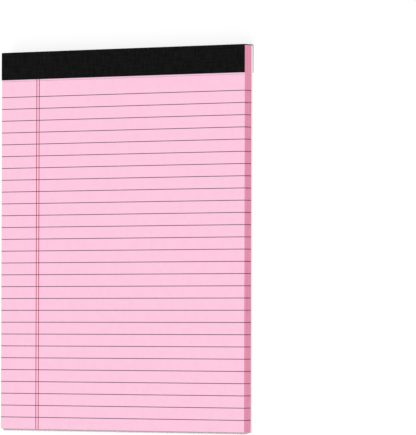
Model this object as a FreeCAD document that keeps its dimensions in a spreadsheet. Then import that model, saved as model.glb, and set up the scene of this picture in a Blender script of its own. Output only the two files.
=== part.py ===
# A letter-size writing pad with tear-off sheets, lying on its back with the page up.
#
# The sheets are one block. A stiff board backs them, wire stitches clamp both along the top edge, and a
# strip of embossed paper tape is folded over that edge and hides the stitches. The page's print is
# modelled as thin inlays of ink: level rules that run off both sides of the sheet, and a double margin
# line that runs off the bottom. A row of slits just below the tape lets a sheet tear off.
#
# X runs across the sheet, Y up the page towards the tape, and Z out of the page. The origin is at the
# middle of what the pad lies on.
import FreeCAD, Part
import os
import Sketcher

# Driving dimensions in millimetres, and counts
SIZES = [
    ("sheet_width", 215.9, "a letter sheet, 8 1/2 in wide"),
    ("sheet_length", 279.4, "a letter sheet, 11 in long"),
    ("sheet_count", 100, "sheets in the block"),
    ("sheet_caliper", 0.09, "thickness of one sheet"),
    ("board_thickness", 1.8, "stiff board at the back"),
    ("tape_thickness", 0.6, "embossed paper tape with its glue"),
    ("flap_length", 19.9, "each flap of the tape, from the edge of the sheets"),
    ("fold_radius", 0.4, "inside of the tape's two folds"),
    ("tape_bite", 0.08, "how far the tape is rolled into the paper and the board"),
    ("fold_clearance", 0.05, "the corners under the folds are rounder than the folds by this"),
    ("rule_spacing", 8.81, "from one rule to the next"),
    ("rule_inset", 8.68, "lowest rule above the bottom edge"),
    ("head_margin", 12.0, "least bare page between the tape and the highest rule"),
    ("rule_width", 0.4, "width of a printed rule"),
    ("margin_inset", 31.9, "first margin line from the left edge"),
    ("margin_gap", 2.2, "between the two margin lines"),
    ("margin_width", 0.4, "width of a margin line"),
    ("ink_depth", 0.05, "how deep the ink is inlaid"),
    ("slit_inset", 1.2, "tear-off slits below the tape"),
    ("slit_spacing", 2.1, "from one slit to the next"),
    ("slit_length", 1.4, "length of a slit"),
    ("slit_width", 0.2, "width of a slit"),
    ("stitch_count", 3, "wire stitches under the tape"),
    ("stitch_spacing", 76.0, "from one stitch to the next"),
    ("stitch_inset", 9.0, "stitches from the edge of the sheets"),
    ("stitch_span", 12.0, "between the legs of a stitch"),
    ("clinch_length", 4.6, "each leg's foot, folded flat behind the board"),
    ("wire_width", 0.7, "flat stitching wire, across its broad side"),
    ("wire_thickness", 0.5, "flat stitching wire, across its thin side"),
    ("bend_radius", 0.6, "centre line of the wire's bends"),
    ("wire_sink", 0.02, "how far the wire is pressed below the paper and the board"),
    ("wire_clearance", 0.05, "between the wire and the paper round it"),
]

# Places in a sub-part's own frame, whose X is at the middle of the sheet, whose Y is 0 at the sheets' top
# edge and falls towards the bottom of the page, and whose Z is 0 where the sheets meet the board
PAGE = "Sizes.sheet_count * Sizes.sheet_caliper"
PAGE_UNDER_TAPE = f"{PAGE} - Sizes.tape_bite"
BOARD_BACK = "-Sizes.board_thickness"
BOARD_UNDER_TAPE = f"{BOARD_BACK} + Sizes.tape_bite"
LEFT, RIGHT = "-Sizes.sheet_width / 2", "Sizes.sheet_width / 2"
TOP, BOTTOM = "0", "-Sizes.sheet_length"
TAPE_END = "-Sizes.flap_length"
WIRE_SEAT = "(Sizes.wire_thickness / 2 + Sizes.wire_sink)"
SLIT_COUNT = "floor(Sizes.sheet_width / Sizes.slit_spacing)"
RULED_LENGTH = "(Sizes.sheet_length - Sizes.flap_length - Sizes.head_margin - Sizes.rule_inset)"
RULE_COUNT = f"floor({RULED_LENGTH} / Sizes.rule_spacing) + 1"

doc = FreeCAD.newDocument("WritingPad")


def add_sizes():
    """The sheet of driving dimensions, one row each: name, number and what it is."""
    sheet = doc.addObject("Spreadsheet::Sheet", "Sizes")
    for row, (name, number, meaning) in enumerate(SIZES, start=1):
        sheet.set(f"A{row}", name)
        sheet.set(f"B{row}", str(number))
        sheet.set(f"C{row}", meaning)
        sheet.setAlias(f"B{row}", name)
    doc.recompute()


def add_body(label):
    """A sub-part, placed so that the pad lies on its tape with the origin under its middle."""
    body = doc.addObject("PartDesign::Body", label)
    body.Label = label
    body.setExpression("Placement.Base.y", "(Sizes.sheet_length - Sizes.tape_thickness) / 2")
    body.setExpression(
        "Placement.Base.z", "Sizes.tape_thickness - Sizes.tape_bite + Sizes.board_thickness"
    )
    return body


def origin_plane(body, role):
    return next(item for item in body.Origin.OriginFeatures if item.Role == role)


def add_sketch(body, role, across="0", along_normal="0"):
    """A sketch on one of the body's own planes, moved across it and along its normal."""
    sketch = body.newObject("Sketcher::SketchObject", f"{body.Label}_sketch")
    sketch.AttachmentSupport = (origin_plane(body, role), "")
    sketch.MapMode = "FlatFace"
    sketch.setExpression("AttachmentOffset.Base.x", across)
    sketch.setExpression("AttachmentOffset.Base.z", along_normal)
    return sketch


def bind(sketch, expression, *constraint):
    """Adds a constraint whose size is an expression."""
    value = sketch.evalExpression(expression)
    index = sketch.addConstraint(Sketcher.Constraint(*constraint, value))
    sketch.setExpression(f"Constraints[{index}]", expression)


def bind_place(sketch, axis, expression, line):
    """Holds a line's start at a place along the sketch's x or y axis."""
    if expression == "0":
        axis_line = -2 if axis == "x" else -1
        sketch.addConstraint(Sketcher.Constraint("PointOnObject", line, 1, axis_line))
    else:
        bind(sketch, expression, f"Distance{axis.upper()}", -1, 1, line, 1)


def crossing(sketch, side, next_side):
    """The point where an upright and a level side meet."""
    places = {axis: sketch.evalExpression(place) for axis, place in (side, next_side)}
    return FreeCAD.Vector(places["x"], places["y"], 0)


def draw(sketch, sides, rounds=None):
    """Draws a closed outline of level and upright lines, fully constrained.

    Each side is the axis that it crosses and its place there, and each is at right angles to the next.
    rounds maps a side's number to the radius of the bend after it."""
    rounds = rounds or {}
    around = [sides[-1], *sides, sides[0]]
    points = [crossing(sketch, side, next_side) for side, next_side in zip(around, around[1:])]
    headings = [(end - start).normalize() for start, end in zip(points, points[1:])]
    radii = {i: sketch.evalExpression(radius) for i, radius in rounds.items()}
    last = len(sides) - 1
    lines = []
    for i, (axis, place) in enumerate(sides):
        start = points[i] + headings[i] * radii.get(i - 1 if i else last, 0)
        end = points[i + 1] - headings[i] * radii.get(i, 0)
        line = sketch.addGeometry(Part.LineSegment(start, end))
        sketch.addConstraint(Sketcher.Constraint("Vertical" if axis == "x" else "Horizontal", line))
        bind_place(sketch, axis, place, line)
        lines.append(line)
    for i, line in enumerate(lines):
        following = (i + 1) % len(lines)
        if i in rounds:
            corner = points[i + 1]
            join_round(sketch, line, lines[following], corner, headings[i], headings[following], rounds[i])
        else:
            sketch.addConstraint(Sketcher.Constraint("Coincident", line, 2, lines[following], 1))


def join_round(sketch, line, next_line, corner, heading, next_heading, radius):
    """Joins two sides with an arc that is tangent to both."""
    size = sketch.evalExpression(radius)
    start, end = corner - heading * size, corner + next_heading * size
    centre = start + next_heading * size
    middle = centre - (next_heading - heading).normalize() * size
    arc = sketch.addGeometry(Part.Arc(start, middle, end))
    turns_left = heading.cross(next_heading).z > 0
    begin, finish = (1, 2) if turns_left else (2, 1)
    sketch.addConstraint(Sketcher.Constraint("Tangent", line, 2, arc, begin))
    sketch.addConstraint(Sketcher.Constraint("Tangent", arc, finish, next_line, 1))
    bind(sketch, radius, "Radius", arc)


def extrude(body, kind, sketch, length):
    """A Pad or a Pocket, half to each side of its sketch."""
    feature = body.newObject(kind, f"{body.Label}_{kind.split('::')[1]}")
    feature.Profile = sketch
    feature.Refine = False
    feature.SideType = "Symmetric"
    feature.setExpression("Length", length)
    return feature


def repeat(body, feature, sketch, axis, pitch, count, backwards=False):
    """Copies a feature along an axis of its sketch."""
    pattern = body.newObject("PartDesign::LinearPattern", f"{body.Label}_Pattern")
    pattern.Originals = [feature]
    pattern.Direction = (sketch, [axis])
    pattern.Mode = "Spacing"
    pattern.Refine = False
    pattern.Reversed = backwards
    pattern.setExpression("Offset", pitch)
    pattern.setExpression("Occurrences", count)
    body.Tip = pattern
    return pattern


def add_rules(body, kind):
    """The level rules, from the lowest up. Each runs over the page and down both sides of the block."""
    lowest = "Sizes.sheet_length - Sizes.rule_inset"
    sketch = add_sketch(body, "XZ_Plane", along_normal=lowest)
    sides = [
        ("x", LEFT),
        ("y", PAGE),
        ("x", RIGHT),
        ("y", "0"),
        ("x", f"{RIGHT} - Sizes.ink_depth"),
        ("y", f"{PAGE} - Sizes.ink_depth"),
        ("x", f"{LEFT} + Sizes.ink_depth"),
        ("y", "0"),
    ]
    draw(sketch, sides)
    rule = extrude(body, kind, sketch, "Sizes.rule_width")
    repeat(body, rule, sketch, "N_Axis", "Sizes.rule_spacing", RULE_COUNT, backwards=True)


def add_margin(body, kind):
    """The two margin lines, from the tape down the page and over the block's bottom edge."""
    first = f"{LEFT} + Sizes.margin_inset"
    sketch = add_sketch(body, "YZ_Plane", along_normal=first)
    sides = [
        ("x", BOTTOM),
        ("y", PAGE),
        ("x", TAPE_END),
        ("y", f"{PAGE} - Sizes.ink_depth"),
        ("x", f"{BOTTOM} + Sizes.ink_depth"),
        ("y", "0"),
    ]
    draw(sketch, sides)
    line = extrude(body, kind, sketch, "Sizes.margin_width")
    repeat(body, line, sketch, "N_Axis", "Sizes.margin_gap", "2")


def add_slits(body):
    """The row of tear-off slits, cut through every sheet just below the tape."""
    first = f"-({SLIT_COUNT} - 1) * Sizes.slit_spacing / 2"
    sketch = add_sketch(body, "XY_Plane", across=first)
    middle = f"{TAPE_END} - Sizes.slit_inset"
    sides = [
        ("x", "-Sizes.slit_length / 2"),
        ("y", f"{middle} + Sizes.slit_width / 2"),
        ("x", "Sizes.slit_length / 2"),
        ("y", f"{middle} - Sizes.slit_width / 2"),
    ]
    draw(sketch, sides)
    slit = extrude(body, "PartDesign::Pocket", sketch, f"2 * ({PAGE}) + Sizes.board_thickness")
    repeat(body, slit, sketch, "H_Axis", "Sizes.slit_spacing", SLIT_COUNT)


def add_stitches(body, kind, clearance):
    """The wire stitches, or the room for them, with a clearance all round the wire.

    A stitch's crown lies across the page, its legs go down through sheets and board, and its feet are
    folded towards each other behind the board."""
    first = "-(Sizes.stitch_count - 1) * Sizes.stitch_spacing / 2"
    half = f"(Sizes.wire_thickness / 2 + {clearance})"
    crown = f"{PAGE_UNDER_TAPE} - {WIRE_SEAT}"
    leg = "Sizes.stitch_span / 2"
    foot = f"{BOARD_UNDER_TAPE} + {WIRE_SEAT}"
    foot_end = f"{leg} - Sizes.clinch_length - {clearance}"
    sketch = add_sketch(body, "XZ_Plane", across=first, along_normal="Sizes.stitch_inset")
    sides = [
        ("y", f"{crown} + {half}"),
        ("x", f"{leg} + {half}"),
        ("y", f"{foot} - {half}"),
        ("x", f"{foot_end}"),
        ("y", f"{foot} + {half}"),
        ("x", f"{leg} - {half}"),
        ("y", f"{crown} - {half}"),
        ("x", f"-({leg} - {half})"),
        ("y", f"{foot} + {half}"),
        ("x", f"-({foot_end})"),
        ("y", f"{foot} - {half}"),
        ("x", f"-({leg} + {half})"),
    ]
    outside, inside = f"Sizes.bend_radius + {half}", f"Sizes.bend_radius - {half}"
    bends = {corner: outside for corner in (0, 1, 10, 11)}
    bends.update({corner: inside for corner in (4, 5, 6, 7)})
    draw(sketch, sides, rounds=bends)
    wire = extrude(body, kind, sketch, f"Sizes.wire_width + 2 * {clearance}")
    repeat(body, wire, sketch, "H_Axis", "Sizes.stitch_spacing", "Sizes.stitch_count")


def paper_block():
    """The sheets, knocked up square and trimmed. The tape is rolled into the page and rounds its edge."""
    body = add_body("paper_block")
    sketch = add_sketch(body, "YZ_Plane")
    sides = [
        ("y", "0"),
        ("x", TOP),
        ("y", PAGE_UNDER_TAPE),
        ("x", TAPE_END),
        ("y", PAGE),
        ("x", BOTTOM),
    ]
    draw(sketch, sides, rounds={1: "Sizes.fold_radius + Sizes.fold_clearance"})
    extrude(body, "PartDesign::Pad", sketch, "Sizes.sheet_width")
    add_stitches(body, "PartDesign::Pocket", "Sizes.wire_clearance")
    add_margin(body, "PartDesign::Pocket")
    add_rules(body, "PartDesign::Pocket")
    add_slits(body)
    return body


def backing_board():
    """The white-lined board, cut to the size of the sheets."""
    body = add_body("backing_board")
    sketch = add_sketch(body, "YZ_Plane")
    sides = [
        ("y", BOARD_BACK),
        ("x", TAPE_END),
        ("y", BOARD_UNDER_TAPE),
        ("x", TOP),
        ("y", "0"),
        ("x", BOTTOM),
    ]
    draw(sketch, sides, rounds={2: "Sizes.fold_radius + Sizes.fold_clearance"})
    extrude(body, "PartDesign::Pad", sketch, "Sizes.sheet_width")
    add_stitches(body, "PartDesign::Pocket", "Sizes.wire_clearance")
    return body


def binding_tape():
    """One strip of tape, folded over the top edge with equal flaps on the page and on the board."""
    body = add_body("binding_tape")
    sketch = add_sketch(body, "YZ_Plane")
    outer_fold = "Sizes.fold_radius + Sizes.tape_thickness"
    sides = [
        ("y", PAGE_UNDER_TAPE),
        ("x", TOP),
        ("y", BOARD_UNDER_TAPE),
        ("x", TAPE_END),
        ("y", f"{BOARD_UNDER_TAPE} - Sizes.tape_thickness"),
        ("x", "Sizes.tape_thickness"),
        ("y", f"{PAGE_UNDER_TAPE} + Sizes.tape_thickness"),
        ("x", TAPE_END),
    ]
    folds = {0: "Sizes.fold_radius", 1: "Sizes.fold_radius", 4: outer_fold, 5: outer_fold}
    draw(sketch, sides, rounds=folds)
    extrude(body, "PartDesign::Pad", sketch, "Sizes.sheet_width")
    return body


def wire_stitches():
    """Flat wire stitches in a row, hidden by the tape."""
    body = add_body("wire_stitches")
    add_stitches(body, "PartDesign::Pad", "0")
    return body


def page_rules():
    """The rules' ink. The margin lines are printed over them, so the rules stop at each."""
    body = add_body("page_rules")
    add_rules(body, "PartDesign::Pad")
    add_margin(body, "PartDesign::Pocket")
    return body


def margin_lines():
    """The margin lines' ink, cut by the tear-off slits as the sheet is."""
    body = add_body("margin_lines")
    add_margin(body, "PartDesign::Pad")
    add_slits(body)
    return body


def check(bodies):
    """Stops if an object failed, a row of cuts removed nothing or a sub-part isn't sound."""
    for item in doc.Objects:
        if {"Invalid", "Error"} & set(item.State):
            raise RuntimeError(f"{item.Label} failed: {item.getStatusString()}")
        if item.TypeId == "PartDesign::LinearPattern":
            cut = item.Originals[0]
            was = cut.BaseFeature
            if cut.TypeId == "PartDesign::Pocket" and item.Shape.Volume >= was.Shape.Volume:
                raise RuntimeError(f"{cut.Label} cut nothing")
    for body in bodies:
        if body.Shape.isNull() or not body.Shape.isValid():
            raise RuntimeError(f"{body.Label} has no sound shape")
        solids = body.Shape.Solids
        print(f"{body.Label}: {len(solids)} solids, {body.Shape.Volume:.3f} mm3")


add_sizes()
bodies = [
    paper_block(),
    backing_board(),
    binding_tape(),
    wire_stitches(),
    page_rules(),
    margin_lines(),
]
doc.recompute()
check(bodies)

os.makedirs("parts", exist_ok=True)
for body in bodies:
    body.Shape.exportStep(f"parts/{body.Label}.step")
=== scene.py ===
# A letter-size writing pad of pink ruled paper, lying on its back with the page up.
#
# It follows the pad as it is put together: the block of sheets, the print on them, the board behind them,
# the wire stitches, and the tape that is folded over the top edge. The stage, the light and the camera
# come last. Lengths are metres, X runs across the sheet, Y up the page and Z out of the page.
import math
import random

import bmesh
import bpy
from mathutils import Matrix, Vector


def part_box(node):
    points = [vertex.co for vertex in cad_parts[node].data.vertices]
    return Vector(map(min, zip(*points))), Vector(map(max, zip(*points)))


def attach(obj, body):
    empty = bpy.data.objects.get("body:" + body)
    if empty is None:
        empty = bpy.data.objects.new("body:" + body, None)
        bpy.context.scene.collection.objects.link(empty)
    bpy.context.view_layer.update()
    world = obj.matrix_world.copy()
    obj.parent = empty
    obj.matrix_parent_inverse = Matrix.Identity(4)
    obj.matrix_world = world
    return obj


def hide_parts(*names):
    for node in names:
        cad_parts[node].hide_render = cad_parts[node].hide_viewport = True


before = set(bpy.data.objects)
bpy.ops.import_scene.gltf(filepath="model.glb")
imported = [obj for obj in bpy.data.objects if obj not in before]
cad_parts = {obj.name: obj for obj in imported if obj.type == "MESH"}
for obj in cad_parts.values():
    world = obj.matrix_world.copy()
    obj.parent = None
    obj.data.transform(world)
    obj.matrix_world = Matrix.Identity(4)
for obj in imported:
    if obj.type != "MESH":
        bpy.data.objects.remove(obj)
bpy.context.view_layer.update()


# The paper block: 100 sheets of pink bond, knocked up square and trimmed on a guillotine, so that the page
# is smooth and each side is a stack of cut edges. The sheets are slit through in a row just below the
# tape, where they tear off.
MM = 0.001
SHEETS = 100
SHEETS_IN_BUNCH = 9
SIDE_SHIFT = 0.014 * MM
SIDE_TURN = 0.010 * MM
BUNCH_SHIFT = 0.022 * MM
GAP_DEPTH = 0.020 * MM
INK_HEIGHT = 0.02 * MM
TAPE_BITE = 0.08 * MM
HAIR = 0.01 * MM
CORNER_ROUND = 0.45 * MM
PAGE_ROWS = 10
SLIT_LENGTH = 1.4 * MM
SLIT_WIDTH = 0.2 * MM
SLIT_SPACING = 2.1 * MM
SLIT_COUNT = 102
SLITS_IN_COLUMN = 13
SLIT_INSET = 1.2 * MM
SLIT_DEPTH = 2.0 * MM
PAPER_CLOUD = 5 * MM
PAPER_FIBRE = 0.4 * MM
EDGE_STREAK = (70 * MM, 70 * MM, 0.9 * MM)

block_low, block_high = (Vector(corner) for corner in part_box("paper_block"))
tape_low, tape_high = (Vector(corner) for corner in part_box("binding_tape"))
page_z = block_high.z - INK_HEIGHT
sheet_caliper = (page_z - block_low.z) / SHEETS
half_width = block_high.x
first_slit = -(SLIT_COUNT - 1) * SLIT_SPACING / 2


def srgb(code):
    """A colour's linear red, green, blue and alpha, from its sRGB hex value."""
    written = [int(code[i:i + 2], 16) / 255 for i in (1, 3, 5)]
    linear = [v / 12.92 if v <= 0.04045 else ((v + 0.055) / 1.055) ** 2.4 for v in written]
    return (*linear, 1.0)


def add_node(tree, kind, inputs=None, **settings):
    """Adds a shader node. An input takes a number, a colour or another node's output."""
    node = tree.nodes.new(f"ShaderNode{kind}")
    for name, setting in settings.items():
        setattr(node, name, setting)
    for name, value in (inputs or {}).items():
        if isinstance(value, bpy.types.NodeSocket):
            tree.links.new(value, node.inputs[name])
        else:
            node.inputs[name].default_value = value
    return node


def new_material(name):
    """An empty node material, its tree and its output."""
    material = bpy.data.materials.new(name)
    material.use_nodes = True
    material.node_tree.nodes.clear()
    output = add_node(material.node_tree, "OutputMaterial")
    return material, material.node_tree, output


def finish_piece(bm, name, material, slot, *nodes):
    """Makes a piece of a bmesh. It stands for CAD nodes and rides on the pad."""
    bmesh.ops.recalc_face_normals(bm, faces=bm.faces)
    mesh = bpy.data.meshes.new(name)
    bm.to_mesh(mesh)
    bm.free()
    mesh.materials.append(material)
    piece = bpy.data.objects.new(name, mesh)
    bpy.context.scene.collection.objects.link(piece)
    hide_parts(*nodes)
    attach(piece, "root")


def cut_faces(bm, faces, place, across):
    """Cuts faces by a plane through a place, square to a direction."""
    geometry = set(faces)
    for face in faces:
        geometry.update(face.edges)
        geometry.update(face.verts)
    bmesh.ops.bisect_plane(bm, geom=list(geometry), plane_co=place, plane_no=across)


def make_sheet_edges(seed):
    """How far each sheet's edge stands back on a side, in the middle, and its turn over the side."""
    rng = random.Random(seed)
    edges = []
    bunch = 0.0
    for number in range(SHEETS):
        if number % SHEETS_IN_BUNCH == 0:
            bunch = rng.uniform(0, BUNCH_SHIFT)
        edges.append((bunch + rng.uniform(0, SIDE_SHIFT), rng.uniform(-SIDE_TURN, SIDE_TURN)))
    return edges


SIDES = ("right", "left", "foot", "head")
SHEET_EDGES = {side: make_sheet_edges(seed) for seed, side in enumerate(SIDES)}


def edge_inset(side, number, along):
    """How far a sheet's edge stands back from the trimmed side, at -1 to 1 along it."""
    shift, turn = SHEET_EDGES[side][number]
    return max(shift + turn * along, 0.0)


def level_inset(side, level, along):
    """The same at a level of the wall: odd levels are a sheet's middle, even ones the gap between two."""
    if level % 2:
        return edge_inset(side, level // 2, along)
    above, below = max(level // 2 - 1, 0), min(level // 2, SHEETS - 1)
    return max(edge_inset(side, above, along), edge_inset(side, below, along)) + GAP_DEPTH


def cut_page(bm):
    """The page, cut along both edges of the row of slits and along the tape's edge.

    The cuts up the page fall between two slits."""
    bmesh.ops.create_grid(bm, x_segments=1, y_segments=PAGE_ROWS, size=0.5)
    width, length = block_high.x - block_low.x, block_high.y - block_low.y
    bmesh.ops.scale(bm, vec=(width, length, 1), verts=bm.verts)
    middle = (block_low.y + block_high.y) / 2
    bmesh.ops.translate(bm, vec=(0, middle, page_z), verts=bm.verts)
    slit_y = tape_low.y - SLIT_INSET
    for y in (slit_y - SLIT_WIDTH / 2, slit_y + SLIT_WIDTH / 2, tape_low.y, tape_low.y + TAPE_BITE):
        cut_faces(bm, bm.faces[:], (0, y, 0), (0, 1, 0))
    for number in range(SLITS_IN_COLUMN - 1, SLIT_COUNT, SLITS_IN_COLUMN):
        x = first_slit + (number + 0.5) * SLIT_SPACING
        cut_faces(bm, bm.faces[:], (x, 0, 0), (1, 0, 0))
    return slit_y


def cut_slits(bm, slit_y):
    """The row of slits, each a narrow pocket into the block."""
    for number in range(SLIT_COUNT):
        for end in (-0.5, 0.5):
            x = first_slit + number * SLIT_SPACING + end * SLIT_LENGTH
            row = [
                face
                for face in bm.faces
                if abs(face.calc_center_median().y - slit_y) < SLIT_WIDTH / 4
                and min(vert.co.x for vert in face.verts) < x < max(vert.co.x for vert in face.verts)
            ]
            cut_faces(bm, row, (x, 0, 0), (1, 0, 0))
    slits = []
    for face in bm.faces:
        centre = face.calc_center_median()
        offset = (centre.x - first_slit + SLIT_SPACING / 2) % SLIT_SPACING - SLIT_SPACING / 2
        if abs(centre.y - slit_y) < SLIT_WIDTH / 4 and abs(offset) < SLIT_LENGTH / 2:
            slits.append(face)
    pockets = bmesh.ops.extrude_discrete_faces(bm, faces=slits)["faces"]
    floor = {vert for face in pockets for vert in face.verts}
    bmesh.ops.translate(bm, vec=(0, 0, -SLIT_DEPTH), verts=list(floor))


def stack_sheets(bm):
    """The four walls of cut edges, drawn down from the page by half a sheet at a time, and the base.

    Returns each wall vertex's level, counted down from the page in half sheets."""
    levels = {}
    rim = [edge for edge in bm.edges if edge.is_boundary]
    for level in range(2 * SHEETS + 1):
        ring = {vert for edge in rim for vert in edge.verts}
        z = page_z - level * sheet_caliper / 2
        for vert in ring:
            vert.co.z = z
            levels[vert] = level
        if level < 2 * SHEETS:
            made = bmesh.ops.extrude_edge_only(bm, edges=rim)["geom"]
            rim = [item for item in made if isinstance(item, bmesh.types.BMEdge) and item.is_boundary]
    base = bmesh.ops.contextual_create(bm, geom=rim)["faces"]
    bmesh.ops.poke(bm, faces=base)
    return levels


def trim_edges(levels):
    """Sets each sheet's edge back by its own small amount, and rounds the block's corner under the tape."""
    corner_y = block_high.y - CORNER_ROUND
    corner_z = block_high.z - TAPE_BITE - CORNER_ROUND
    for vert, level in levels.items():
        x, y = vert.co.x, vert.co.y
        along_y, along_x = y / block_high.y, x / half_width
        if abs(x) > half_width - TAPE_BITE:
            side = "right" if x > 0 else "left"
            vert.co.x -= math.copysign(level_inset(side, level, along_y), x)
        if y < block_low.y + TAPE_BITE:
            vert.co.y += level_inset("foot", level, along_x)
        elif y > block_high.y - TAPE_BITE:
            vert.co.y -= level_inset("head", level, along_x)
            rise = min(max(vert.co.z - corner_z, 0), CORNER_ROUND)
            vert.co.y -= CORNER_ROUND - math.sqrt(CORNER_ROUND ** 2 - rise ** 2)


def press_stubs(bm):
    """Presses the sheets' stubs together under the tape, as the stitches and the tape do."""
    pressed = (block_high.z - TAPE_BITE - block_low.z) / (page_z - block_low.z)
    for vert in bm.verts:
        if vert.co.y > tape_low.y + TAPE_BITE / 2:
            vert.co.z = block_low.z + (vert.co.z - block_low.z) * pressed


def bond_paper():
    """Pink bond: dyed wood-free paper, smooth and matt, faintly cloudy where its fibres lie unevenly.

    Its cut edges are painted a deeper, darker pink than the page, as painted shade for the block's
    sides and for the light caught between the sheets; each sheet's edge has its own tone."""
    material, tree, output = new_material("pink bond paper")
    place = add_node(tree, "TexCoord").outputs["Object"]
    axes = add_node(tree, "SeparateXYZ", {0: place})
    clouds = add_node(tree, "TexNoise", {"Vector": place, "Scale": 1 / PAPER_CLOUD, "Detail": 3})
    fibres = add_node(tree, "TexNoise", {"Vector": place, "Scale": 1 / PAPER_FIBRE, "Detail": 2})
    page_tone = add_node(
        tree, "MapRange", {0: clouds.outputs[0], 1: 0.3, 2: 0.7, 3: 0.0, 4: 1.0}
    )
    page = add_node(
        tree, "Mix", {0: page_tone.outputs[0], 6: srgb("#FDC7DF"), 7: srgb("#FFCAE2")}, data_type="RGBA"
    )
    height = add_node(tree, "Math", {0: axes.outputs["Z"], 1: block_low.z}, operation="SUBTRACT")
    counted = add_node(tree, "Math", {0: height.outputs[0], 1: sheet_caliper}, operation="DIVIDE")
    number = add_node(tree, "Math", {0: counted.outputs[0]}, operation="FLOOR")
    own_tone = add_node(tree, "TexWhiteNoise", {"W": number.outputs[0]}, noise_dimensions="1D")
    streak_scale = [1 / length for length in EDGE_STREAK]
    stretched = add_node(tree, "Mapping", {"Vector": place, "Scale": streak_scale})
    streaks = add_node(tree, "TexNoise", {"Vector": stretched.outputs[0], "Scale": 1.0, "Detail": 4})
    edge_tone = add_node(
        tree, "Mix", {0: 0.55, 2: own_tone.outputs["Value"], 3: streaks.outputs[0]}, data_type="FLOAT"
    )
    spread = add_node(tree, "MapRange", {0: edge_tone.outputs[0], 1: 0.25, 2: 0.75})
    # The cut edges' deeper, darker pink is painted shade for the block's sides and the light caught between
    # sheets.
    edges = add_node(
        tree, "Mix", {0: spread.outputs[0], 6: srgb("#CF809D"), 7: srgb("#E395B1")}, data_type="RGBA"
    )
    on_page = add_node(
        tree, "Math", {0: axes.outputs["Z"], 1: page_z - HAIR}, operation="GREATER_THAN"
    )
    colour = add_node(
        tree, "Mix", {0: on_page.outputs[0], 6: edges.outputs[2], 7: page.outputs[2]}, data_type="RGBA"
    )
    bump = add_node(
        tree, "Bump", {"Height": fibres.outputs[0], "Strength": 0.25, "Distance": 0.01 * MM}
    )
    paper = add_node(
        tree,
        "BsdfPrincipled",
        {
            "Base Color": colour.outputs[2],
            "Roughness": 0.75,
            "Specular IOR Level": 0.2,
            "Normal": bump.outputs[0],
        },
    )
    tree.links.new(paper.outputs[0], output.inputs[0])
    return material


bm = bmesh.new()
cut_slits(bm, cut_page(bm))
trim_edges(stack_sheets(bm))
press_stubs(bm)
finish_piece(bm, "paper_sheets", bond_paper(), "pink_paper", "paper_block")


# The print: plum-grey rules across the page, run off both sides of the sheet, and a double margin
# line in crimson that runs off the foot. It is offset ink, a few microns thick, drawn here with a little
# height, and a little wider than it is printed, as thin lines come out weak at the picture's size. Each
# sheet was ruled before it was cut, so every cut edge carries its own small marks.
MARK_SHIFT = 0.07 * MM
MARK_DEPTH = 0.004 * MM
RULE_COUNT = 28
PRINTED_WIDTH = 0.4 * MM
RULE_WIDTH = 0.54 * MM
MARGIN_WIDTH = 0.64 * MM
INK_BLOTCH = 1.5 * MM

rules_low, rules_high = (Vector(corner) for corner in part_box("page_rules"))
margin_low, margin_high = (Vector(corner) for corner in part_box("margin_lines"))
lowest_rule = rules_low.y + PRINTED_WIDTH / 2
rule_spacing = (rules_high.y - rules_low.y - PRINTED_WIDTH) / (RULE_COUNT - 1)
rule_places = [lowest_rule + rule_spacing * number for number in range(RULE_COUNT)]
margin_places = [margin_low.x + PRINTED_WIDTH / 2, margin_high.x - PRINTED_WIDTH / 2]


def add_bar(bm, x_low, x_high, y_low, y_high):
    """A bar of ink on the page, without the face that lies on the paper."""
    bar = bmesh.ops.create_cube(bm, size=1.0)["verts"]
    bmesh.ops.scale(bm, vec=(x_high - x_low, y_high - y_low, INK_HEIGHT), verts=bar)
    middle = ((x_low + x_high) / 2, (y_low + y_high) / 2, page_z + INK_HEIGHT / 2)
    bmesh.ops.translate(bm, vec=middle, verts=bar)
    under = [face for face in {f for vert in bar for f in vert.link_faces} if face.normal.z < -0.5]
    bmesh.ops.delete(bm, geom=under, context="FACES_ONLY")


def add_marks(bm, places, width, side, seed):
    """A row of marks on each sheet's edge at one side, each a small roof over the edge's crest."""
    half_side = half_width if side == "foot" else block_high.y
    rng = random.Random(seed)
    for number in range(SHEETS):
        shift = rng.gauss(0, MARK_SHIFT)
        z = page_z - (number + 0.5) * sheet_caliper
        for place in places:
            made = bmesh.ops.create_grid(bm, x_segments=1, y_segments=2, size=0.5)["verts"]
            for vert in made:
                along = place + shift + vert.co.x * width
                rise = vert.co.y * sheet_caliper
                reach = edge_inset(side, number, along / half_side) - MARK_DEPTH
                reach += GAP_DEPTH * abs(vert.co.y) * 2
                if side == "foot":
                    vert.co = (along, block_low.y + reach, z + rise)
                else:
                    x = half_width - reach
                    vert.co = (x if side == "right" else -x, along, z + rise)


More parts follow.
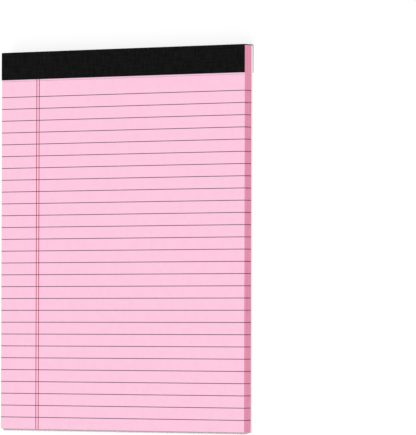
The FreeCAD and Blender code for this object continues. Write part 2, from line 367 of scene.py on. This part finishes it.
def offset_ink(name, line, crossing, cut_end_shade):
    """Offset ink soaked into bond: matt, a little uneven, and darker where the two inks overlap.

    It is darkest on the cut edges, a painted shade like that of the sheets' edges."""
    material, tree, output = new_material(name)
    place = add_node(tree, "TexCoord").outputs["Object"]
    axes = add_node(tree, "SeparateXYZ", {0: place})
    climb = add_node(
        tree, "Math", {0: axes.outputs["Y"], 1: lowest_rule - rule_spacing / 2}, operation="SUBTRACT"
    )
    cycle = add_node(tree, "Math", {0: climb.outputs[0], 1: rule_spacing}, operation="FLOORED_MODULO")
    offset = add_node(tree, "Math", {0: cycle.outputs[0], 1: rule_spacing / 2}, operation="SUBTRACT")
    distance = add_node(tree, "Math", {0: offset.outputs[0]}, operation="ABSOLUTE")
    overlap = add_node(
        tree, "Math", {0: distance.outputs[0], 1: RULE_WIDTH / 2}, operation="LESS_THAN"
    )
    blotches = add_node(tree, "TexNoise", {"Vector": place, "Scale": 1 / INK_BLOTCH, "Detail": 2})
    tone = add_node(tree, "MapRange", {0: blotches.outputs[0], 1: 0.3, 2: 0.7, 3: 0.92, 4: 1.06})
    inked = add_node(
        tree, "Mix", {0: overlap.outputs[0], 6: srgb(line), 7: srgb(crossing)}, data_type="RGBA"
    )
    # On the cut edges the ink takes its darker colour: painted shade, as on the sheets' edges.
    on_edge = add_node(
        tree, "Math", {0: axes.outputs["Z"], 1: page_z - HAIR}, operation="LESS_THAN"
    )
    shaded_edge_ink = add_node(
        tree, "Mix", {0: on_edge.outputs[0], 6: inked.outputs[2], 7: srgb(cut_end_shade)}, data_type="RGBA"
    )
    colour = add_node(
        tree, "VectorMath", {0: shaded_edge_ink.outputs[2], "Scale": tone.outputs[0]}, operation="SCALE"
    )
    ink = add_node(
        tree,
        "BsdfPrincipled",
        {"Base Color": colour.outputs[0], "Roughness": 0.7, "Specular IOR Level": 0.2},
    )
    tree.links.new(ink.outputs[0], output.inputs[0])
    return material


bm = bmesh.new()
stops = [-half_width]
for place in margin_places:
    stops += [place - MARGIN_WIDTH / 2, place + MARGIN_WIDTH / 2]
stops.append(half_width)
for place in rule_places:
    for start, end in zip(stops[::2], stops[1::2]):
        add_bar(bm, start, end, place - RULE_WIDTH / 2, place + RULE_WIDTH / 2)
add_marks(bm, rule_places, RULE_WIDTH, "right", seed=11)
add_marks(bm, rule_places, RULE_WIDTH, "left", seed=12)
# Each ink's last colour is its darker tone on the cut edges, which is painted shade.
rule_ink = offset_ink("plum-grey offset ink", "#6C4C60", "#6C4C60", "#6A2A48")
finish_piece(bm, "ruled_lines", rule_ink, "rule_ink", "page_rules")

bm = bmesh.new()
for place in margin_places:
    add_bar(bm, place - MARGIN_WIDTH / 2, place + MARGIN_WIDTH / 2, block_low.y, tape_low.y)
add_marks(bm, margin_places, MARGIN_WIDTH, "foot", seed=13)
margin_ink = offset_ink("crimson offset ink", "#B82A50", "#64263A", "#8A1E3C")
finish_piece(bm, "margin_rules", margin_ink, "margin_ink", "margin_lines")


# The backing board: solid bleached board with a smooth white liner on each face, cut to size with the
# sheets. The knife leaves its edges a little furred and very slightly rounded.
BOARD_ROUND = 0.12 * MM
FUR = 0.02 * MM
BOARD_COLUMNS = 36
BOARD_ROWS = 48
HALF_CORE = 0.65 * MM
BOARD_FIBRE = (3 * MM, 0.8 * MM, 0.3 * MM)

board_low, board_high = (Vector(corner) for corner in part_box("backing_board"))


def cut_board(bm):
    """A slab with rounded edges, let in for the tape at its back and furred by the knife."""
    slab = bmesh.ops.create_cube(bm, size=1.0)["verts"]
    bmesh.ops.scale(bm, vec=board_high - board_low, verts=slab)
    bmesh.ops.translate(bm, vec=(board_high + board_low) / 2, verts=slab)
    for y in (tape_low.y, tape_low.y + TAPE_BITE):
        cut_faces(bm, bm.faces[:], (0, y, 0), (0, 1, 0))
    bmesh.ops.bevel(
        bm,
        geom=[edge for edge in bm.edges if edge.calc_face_angle(0) > math.radians(45)],
        affect="EDGES",
        offset=BOARD_ROUND,
        segments=3,
        profile=0.5,
        material=-1,
    )
    for number in range(1, BOARD_COLUMNS):
        x = half_width * (2 * number / BOARD_COLUMNS - 1)
        cut_faces(bm, bm.faces[:], (x, 0, 0), (1, 0, 0))
    for number in range(1, BOARD_ROWS):
        y = block_high.y * (2 * number / BOARD_ROWS - 1)
        cut_faces(bm, bm.faces[:], (0, y, 0), (0, 1, 0))
    rng = random.Random(21)
    for vert in bm.verts:
        fur = rng.uniform(0, FUR)
        if abs(vert.co.x) > half_width - BOARD_ROUND:
            vert.co.x -= math.copysign(fur, vert.co.x)
        if vert.co.y < board_low.y + BOARD_ROUND:
            vert.co.y += fur
        if vert.co.y > tape_low.y + TAPE_BITE / 2 and vert.co.z < (board_low.z + board_high.z) / 2:
            vert.co.z += TAPE_BITE


def bleached_board():
    """Bleached board: near white, matt, with fine fibres on its liners and a warmer, rougher core."""
    material, tree, output = new_material("bleached board")
    place = add_node(tree, "TexCoord").outputs["Object"]
    axes = add_node(tree, "SeparateXYZ", {0: place})
    fibre_scale = [1 / length for length in BOARD_FIBRE]
    grain = add_node(tree, "Mapping", {"Vector": place, "Scale": fibre_scale})
    fibres = add_node(tree, "TexNoise", {"Vector": grain.outputs[0], "Scale": 1.0, "Detail": 4})
    middle = (board_low.z + board_high.z) / 2
    from_middle = add_node(tree, "Math", {0: axes.outputs["Z"], 1: middle}, operation="SUBTRACT")
    depth = add_node(tree, "Math", {0: from_middle.outputs[0]}, operation="ABSOLUTE")
    core = add_node(tree, "Math", {0: depth.outputs[0], 1: HALF_CORE}, operation="LESS_THAN")
    layer = add_node(
        tree, "Mix", {0: core.outputs[0], 6: srgb("#FCFAF8"), 7: srgb("#F6F2EE")}, data_type="RGBA"
    )
    tone = add_node(tree, "MapRange", {0: fibres.outputs[0], 1: 0.3, 2: 0.7, 3: 0.96, 4: 1.0})
    colour = add_node(
        tree, "VectorMath", {0: layer.outputs[2], "Scale": tone.outputs[0]}, operation="SCALE"
    )
    bump = add_node(
        tree, "Bump", {"Height": fibres.outputs[0], "Strength": 0.3, "Distance": 0.02 * MM}
    )
    board = add_node(
        tree,
        "BsdfPrincipled",
        {
            "Base Color": colour.outputs[0],
            "Roughness": 0.7,
            "Specular IOR Level": 0.25,
            "Normal": bump.outputs[0],
        },
    )
    tree.links.new(board.outputs[0], output.inputs[0])
    return material


bm = bmesh.new()
cut_board(bm)
finish_piece(bm, "board_slab", bleached_board(), "white_board", "backing_board")


# The wire stitches: flat steel stitching wire with a zinc finish, driven through the stubs and the board
# and clinched behind it. The tape hides them, so the CAD solids stay and take a metal finish.
DIE_SCRATCH = (2 * MM, 0.08 * MM, 2 * MM)


def zinc_wire():
    """Galvanised steel wire, drawn: bright grey, with fine scratches along it from the die."""
    material, tree, output = new_material("zinc-finish steel wire")
    place = add_node(tree, "TexCoord").outputs["Object"]
    scratch_scale = [1 / length for length in DIE_SCRATCH]
    drawn = add_node(tree, "Mapping", {"Vector": place, "Scale": scratch_scale})
    scratches = add_node(tree, "TexNoise", {"Vector": drawn.outputs[0], "Scale": 1.0, "Detail": 3})
    shine = add_node(tree, "MapRange", {0: scratches.outputs[0], 1: 0.3, 2: 0.7, 3: 0.28, 4: 0.42})
    metal = add_node(
        tree,
        "BsdfPrincipled",
        {"Base Color": srgb("#C9CBCC"), "Metallic": 1.0, "Roughness": shine.outputs[0]},
    )
    tree.links.new(metal.outputs[0], output.inputs[0])
    return material


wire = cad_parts["wire_stitches"]
wire.data.materials.clear()
wire.data.materials.append(zinc_wire())


# The binding tape: black coated paper tape embossed like linen, glued over the top edge with equal flaps
# on the page and on the board, and rolled down. Its cut edges are square and show the same black.
TAPE_THICKNESS = 0.6 * MM
OUTER_FOLD = 1.0 * MM
TAPE_COLUMNS = 60
FLAP_STEPS = 16
SPINE_STEPS = 6
FOLD_STEPS = 6
THREAD = 0.6 * MM
SLUB = 9 * MM
WEAVE_WOBBLE = 4 * MM


def fold_tape(bm):
    """One strip, folded over the edge: flap, fold, spine, fold and flap, then given its thickness."""
    flap = tape_high.y - OUTER_FOLD - tape_low.y
    bmesh.ops.create_grid(bm, x_segments=TAPE_COLUMNS, y_segments=FLAP_STEPS, size=0.5)
    bmesh.ops.scale(bm, vec=(2 * half_width, flap, 1), verts=bm.verts)
    bmesh.ops.translate(bm, vec=(0, tape_low.y + flap / 2, tape_high.z), verts=bm.verts)
    fold_y = tape_high.y - OUTER_FOLD
    edge = [e for e in bm.edges if all(abs(vert.co.y - fold_y) < HAIR for vert in e.verts)]
    edge = turn_fold(bm, edge, (0, fold_y, tape_high.z - OUTER_FOLD))
    spine = tape_high.z - tape_low.z - 2 * OUTER_FOLD
    edge = draw_on(bm, edge, (0, 0, -spine), SPINE_STEPS)
    edge = turn_fold(bm, edge, (0, fold_y, tape_low.z + OUTER_FOLD))
    draw_on(bm, edge, (0, -flap, 0), FLAP_STEPS)


def turn_fold(bm, edge, centre):
    """Turns the strip's end a quarter round a fold."""
    made = bmesh.ops.spin(
        bm,
        geom=edge + list({vert for e in edge for vert in e.verts}),
        cent=centre,
        axis=(1, 0, 0),
        angle=-math.pi / 2,
        steps=FOLD_STEPS,
        use_merge=False,
    )["geom_last"]
    return [item for item in made if isinstance(item, bmesh.types.BMEdge)]


def draw_on(bm, edge, way, steps):
    """Draws the strip on in a straight line, in even steps."""
    for _ in range(steps):
        made = bmesh.ops.extrude_edge_only(bm, edges=edge)["geom"]
        fresh = [item for item in made if isinstance(item, bmesh.types.BMVert)]
        bmesh.ops.translate(bm, vec=Vector(way) / steps, verts=fresh)
        edge = [item for item in made if isinstance(item, bmesh.types.BMEdge) and item.is_boundary]
        edge = [e for e in edge if set(e.verts) <= set(fresh)]
    return edge


def linen_tape():
    """Coated paper tape pressed with a linen grain: near black, low sheen, brighter on the crests."""
    material, tree, output = new_material("linen-embossed paper tape")
    place = add_node(tree, "TexCoord").outputs["Object"]
    axes = add_node(tree, "SeparateXYZ", {0: place})
    across = axes.outputs["X"]
    folded = add_node(tree, "Math", {0: axes.outputs["Y"], 1: axes.outputs["Z"]}, operation="SUBTRACT")
    wobble = add_node(tree, "TexNoise", {"Vector": place, "Scale": 1 / WEAVE_WOBBLE, "Detail": 2})
    drift = add_node(tree, "Math", {0: wobble.outputs[0], 1: THREAD * 0.8}, operation="MULTIPLY")
    flat = add_node(tree, "CombineXYZ", {0: across, 1: folded.outputs[0]})
    waves = []
    slubs = []
    for along, stretch in ((across, (SLUB, THREAD * 2)), (folded.outputs[0], (THREAD * 2, SLUB))):
        shifted = add_node(tree, "Math", {0: along, 1: drift.outputs[0]}, operation="ADD")
        phase = add_node(
            tree, "Math", {0: shifted.outputs[0], 1: 2 * math.pi / THREAD}, operation="MULTIPLY"
        )
        waves.append(add_node(tree, "Math", {0: phase.outputs[0]}, operation="SINE").outputs[0])
        drawn = add_node(
            tree, "Mapping", {"Vector": flat.outputs[0], "Scale": (1 / stretch[0], 1 / stretch[1], 1)}
        )
        slub = add_node(tree, "TexNoise", {"Vector": drawn.outputs[0], "Scale": 1.0, "Detail": 2})
        slubs.append(slub.outputs[0])
    weave = add_node(tree, "Math", {0: waves[0], 1: waves[1]}, operation="MULTIPLY")
    thick = add_node(tree, "Math", {0: slubs[0], 1: slubs[1]}, operation="ADD")
    spread = add_node(tree, "MapRange", {0: thick.outputs[0], 1: 0.75, 2: 1.25, 3: -0.6, 4: 1.0})
    relief = add_node(
        tree, "Math", {0: weave.outputs[0], 1: 0.4, 2: spread.outputs[0]}, operation="MULTIPLY_ADD"
    )
    crest = add_node(tree, "MapRange", {0: relief.outputs[0], 1: -0.8, 2: 1.2})
    colour = add_node(
        tree, "Mix", {0: crest.outputs[0], 6: srgb("#050505"), 7: srgb("#171718")}, data_type="RGBA"
    )
    shine = add_node(tree, "MapRange", {0: crest.outputs[0], 1: 0.0, 2: 1.0, 3: 0.7, 4: 0.5})
    bump = add_node(
        tree, "Bump", {"Height": relief.outputs[0], "Strength": 0.6, "Distance": 0.05 * MM}
    )
    tape = add_node(
        tree,
        "BsdfPrincipled",
        {
            "Base Color": colour.outputs[2],
            "Roughness": shine.outputs[0],
            "Specular IOR Level": 0.06,
            "Normal": bump.outputs[0],
        },
    )
    tree.links.new(tape.outputs[0], output.inputs[0])
    return material


bm = bmesh.new()
fold_tape(bm)
bmesh.ops.recalc_face_normals(bm, faces=bm.faces)
bmesh.ops.solidify(bm, geom=bm.faces[:], thickness=TAPE_THICKNESS)
finish_piece(bm, "folded_tape", linen_tape(), "black_tape", "binding_tape")


# The stage: a plain white table that shows as pure white to the camera and in gloss, and keeps the
# pad's soft shadow.
STAGE_SIZE = 6.0
STAGE_GLOW = 0.09


def white_table():
    """Matt white, with a faint glow that only the camera and gloss see."""
    material, tree, output = new_material("white table")
    rays = add_node(tree, "LightPath").outputs
    seen = add_node(
        tree, "Math", {0: rays["Is Camera Ray"], 1: rays["Is Glossy Ray"]}, operation="MAXIMUM"
    )
    glow = add_node(tree, "Math", {0: seen.outputs[0], 1: STAGE_GLOW}, operation="MULTIPLY")
    white = add_node(tree, "BsdfDiffuse", {"Color": srgb("#F9F9F9")})
    lift = add_node(tree, "Emission", {"Strength": glow.outputs[0]})
    both = add_node(tree, "AddShader", {0: white.outputs[0], 1: lift.outputs[0]})
    tree.links.new(both.outputs[0], output.inputs[0])
    return material


bm = bmesh.new()
bmesh.ops.create_grid(bm, x_segments=1, y_segments=1, size=STAGE_SIZE / 2)
floor_mesh = bpy.data.meshes.new("white table")
bm.to_mesh(floor_mesh)
bm.free()
floor_mesh.materials.append(white_table())
floor = bpy.data.objects.new("white table", floor_mesh)
bpy.context.scene.collection.objects.link(floor)


# The light: an even white surround and one soft lamp, high on the right, so that the page renders as its
# colour is written and the block's right side is nearly as bright. The lamp stands a little above the
# pad's head, so that a narrow shadow falls along the foot.
world = bpy.data.worlds.new("white surround")
world.use_nodes = True
world.node_tree.nodes.clear()
surround = add_node(world.node_tree, "Background", {"Color": (1, 1, 1, 1), "Strength": 0.36})
add_node(world.node_tree, "OutputWorld", {"Surface": surround.outputs[0]})
bpy.context.scene.world = world

lamp_data = bpy.data.lights.new("soft lamp", "SUN")
lamp_data.energy = 2.29
lamp_data.angle = math.radians(5)
lamp = bpy.data.objects.new("soft lamp", lamp_data)
lamp.rotation_euler = Vector((0.8, 0.21, 1.5)).to_track_quat("Z", "Y").to_euler()
bpy.context.scene.collection.objects.link(lamp)

view = bpy.context.scene.view_settings
view.view_transform = "Standard"


# The camera: far off and long, above the pad's right side, turned a little so that the page's edges stay
# almost upright in the picture.
camera_data = bpy.data.cameras.new("camera")
camera_data.lens = 387.797
camera_data.sensor_width = 36.0
camera = bpy.data.objects.new("camera", camera_data)
camera.location = (1.944713, -0.06657, 2.841182)
camera.rotation_euler = [math.radians(angle) for angle in (1.471086, 33.429176, 0.166055)]
bpy.context.scene.collection.objects.link(camera)
bpy.context.scene.camera = camera
